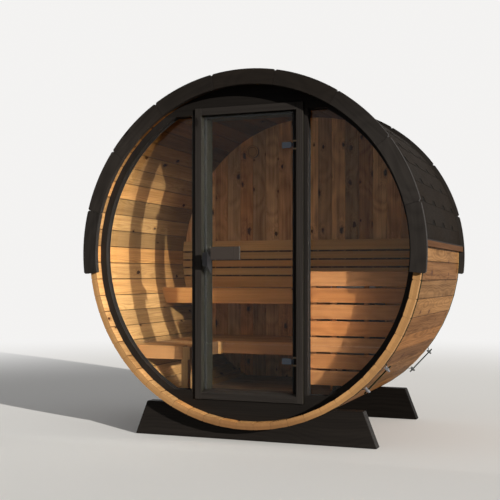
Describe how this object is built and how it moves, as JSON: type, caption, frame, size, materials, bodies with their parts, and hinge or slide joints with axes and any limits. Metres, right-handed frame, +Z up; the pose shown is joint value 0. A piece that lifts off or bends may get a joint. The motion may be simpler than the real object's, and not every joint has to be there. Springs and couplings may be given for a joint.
{
  "type": "barrel sauna",
  "caption": "Round timber sauna cabin on two cradles, with a glazed front, hinged glass door, shingled roof, benches, and a heater behind a slatted guard.",
  "frame": {"origin": "on the ground, under the middle of the barrel", "axes": "+Z up, the barrel lies along Y with its glazed front facing -Y, +X to the right seen from the front"},
  "size_m": [2.1158, 1.412, 2.1628],
  "materials": {
    "bench_wood": "smooth red-brown softwood",
    "dark_wood": "near-black stain on planed wood",
    "glass": "clear toughened glass, slightly tinted",
    "handle_metal": "black, satin",
    "heater_steel": "satin stainless steel",
    "hinge_metal": "satin steel",
    "hoop_steel": "dark painted band with zinc plated rod",
    "inner_boards": "untreated red-brown softwood",
    "lock_metal": "satin grey-brown metal",
    "roof_shingles": "mineral granules on bitumen shingles",
    "seal_rubber": "black rubber",
    "stave_wood": "honey coloured softwood with knots, oiled",
    "stones": "dark grey broken stone"
  },
  "bodies": {
    "sauna": {"back_wall": "inner_boards", "back_wall_vent": "inner_boards", "backrest": "bench_wood", "door_head": "dark_wood", "door_hinge_brackets": "hinge_metal", "door_jamb_left": "dark_wood", "door_jamb_right": "dark_wood", "door_seals": "seal_rubber", "door_sill": "dark_wood", "floor": "inner_boards", "front_cradle": "dark_wood", "front_hoop": "hoop_steel", "front_trim_arch": "dark_wood", "front_wall_header": "dark_wood", "front_wall_left_arc": "dark_wood", "front_wall_lower_panel": "dark_wood", "front_wall_right_arc": "dark_wood", "heater_body": "heater_steel", "heater_guard_front_slats": "bench_wood", "heater_guard_posts": "bench_wood", "heater_guard_side_slats": "bench_wood", "heater_stones": "stones", "lower_bench_apron": "bench_wood", "lower_bench_frame": "bench_wood", "lower_bench_seat": "bench_wood", "rear_cradle": "dark_wood", "rear_hoop": "hoop_steel", "rear_trim_arch": "dark_wood", "roof_battens": "stave_wood", "roof_cover": "roof_shingles", "staves_01": "stave_wood", "staves_02": "stave_wood", "staves_03": "stave_wood", "staves_04": "stave_wood", "staves_05": "stave_wood", "staves_06": "stave_wood", "staves_07": "stave_wood", "staves_08": "stave_wood", "staves_09": "stave_wood", "staves_10": "stave_wood", "upper_bench_apron": "bench_wood", "upper_bench_bearers": "bench_wood", "upper_bench_seat": "bench_wood", "window_glass_left": "glass", "window_glass_right": "glass", "window_seals": "seal_rubber"},
    "door": {"door_glass": "glass", "door_hinge_clamps": "hinge_metal", "door_lock_case": "lock_metal", "door_handle": "handle_metal"}
  },
  "joints": [
    {"name": "door_hinge", "type": "hinge", "parent": "sauna", "child": "door", "pos_m": [0.2745, -0.607, 1.1], "axis": [0, 0, 1], "range_deg": [0, 100]}
  ]
}
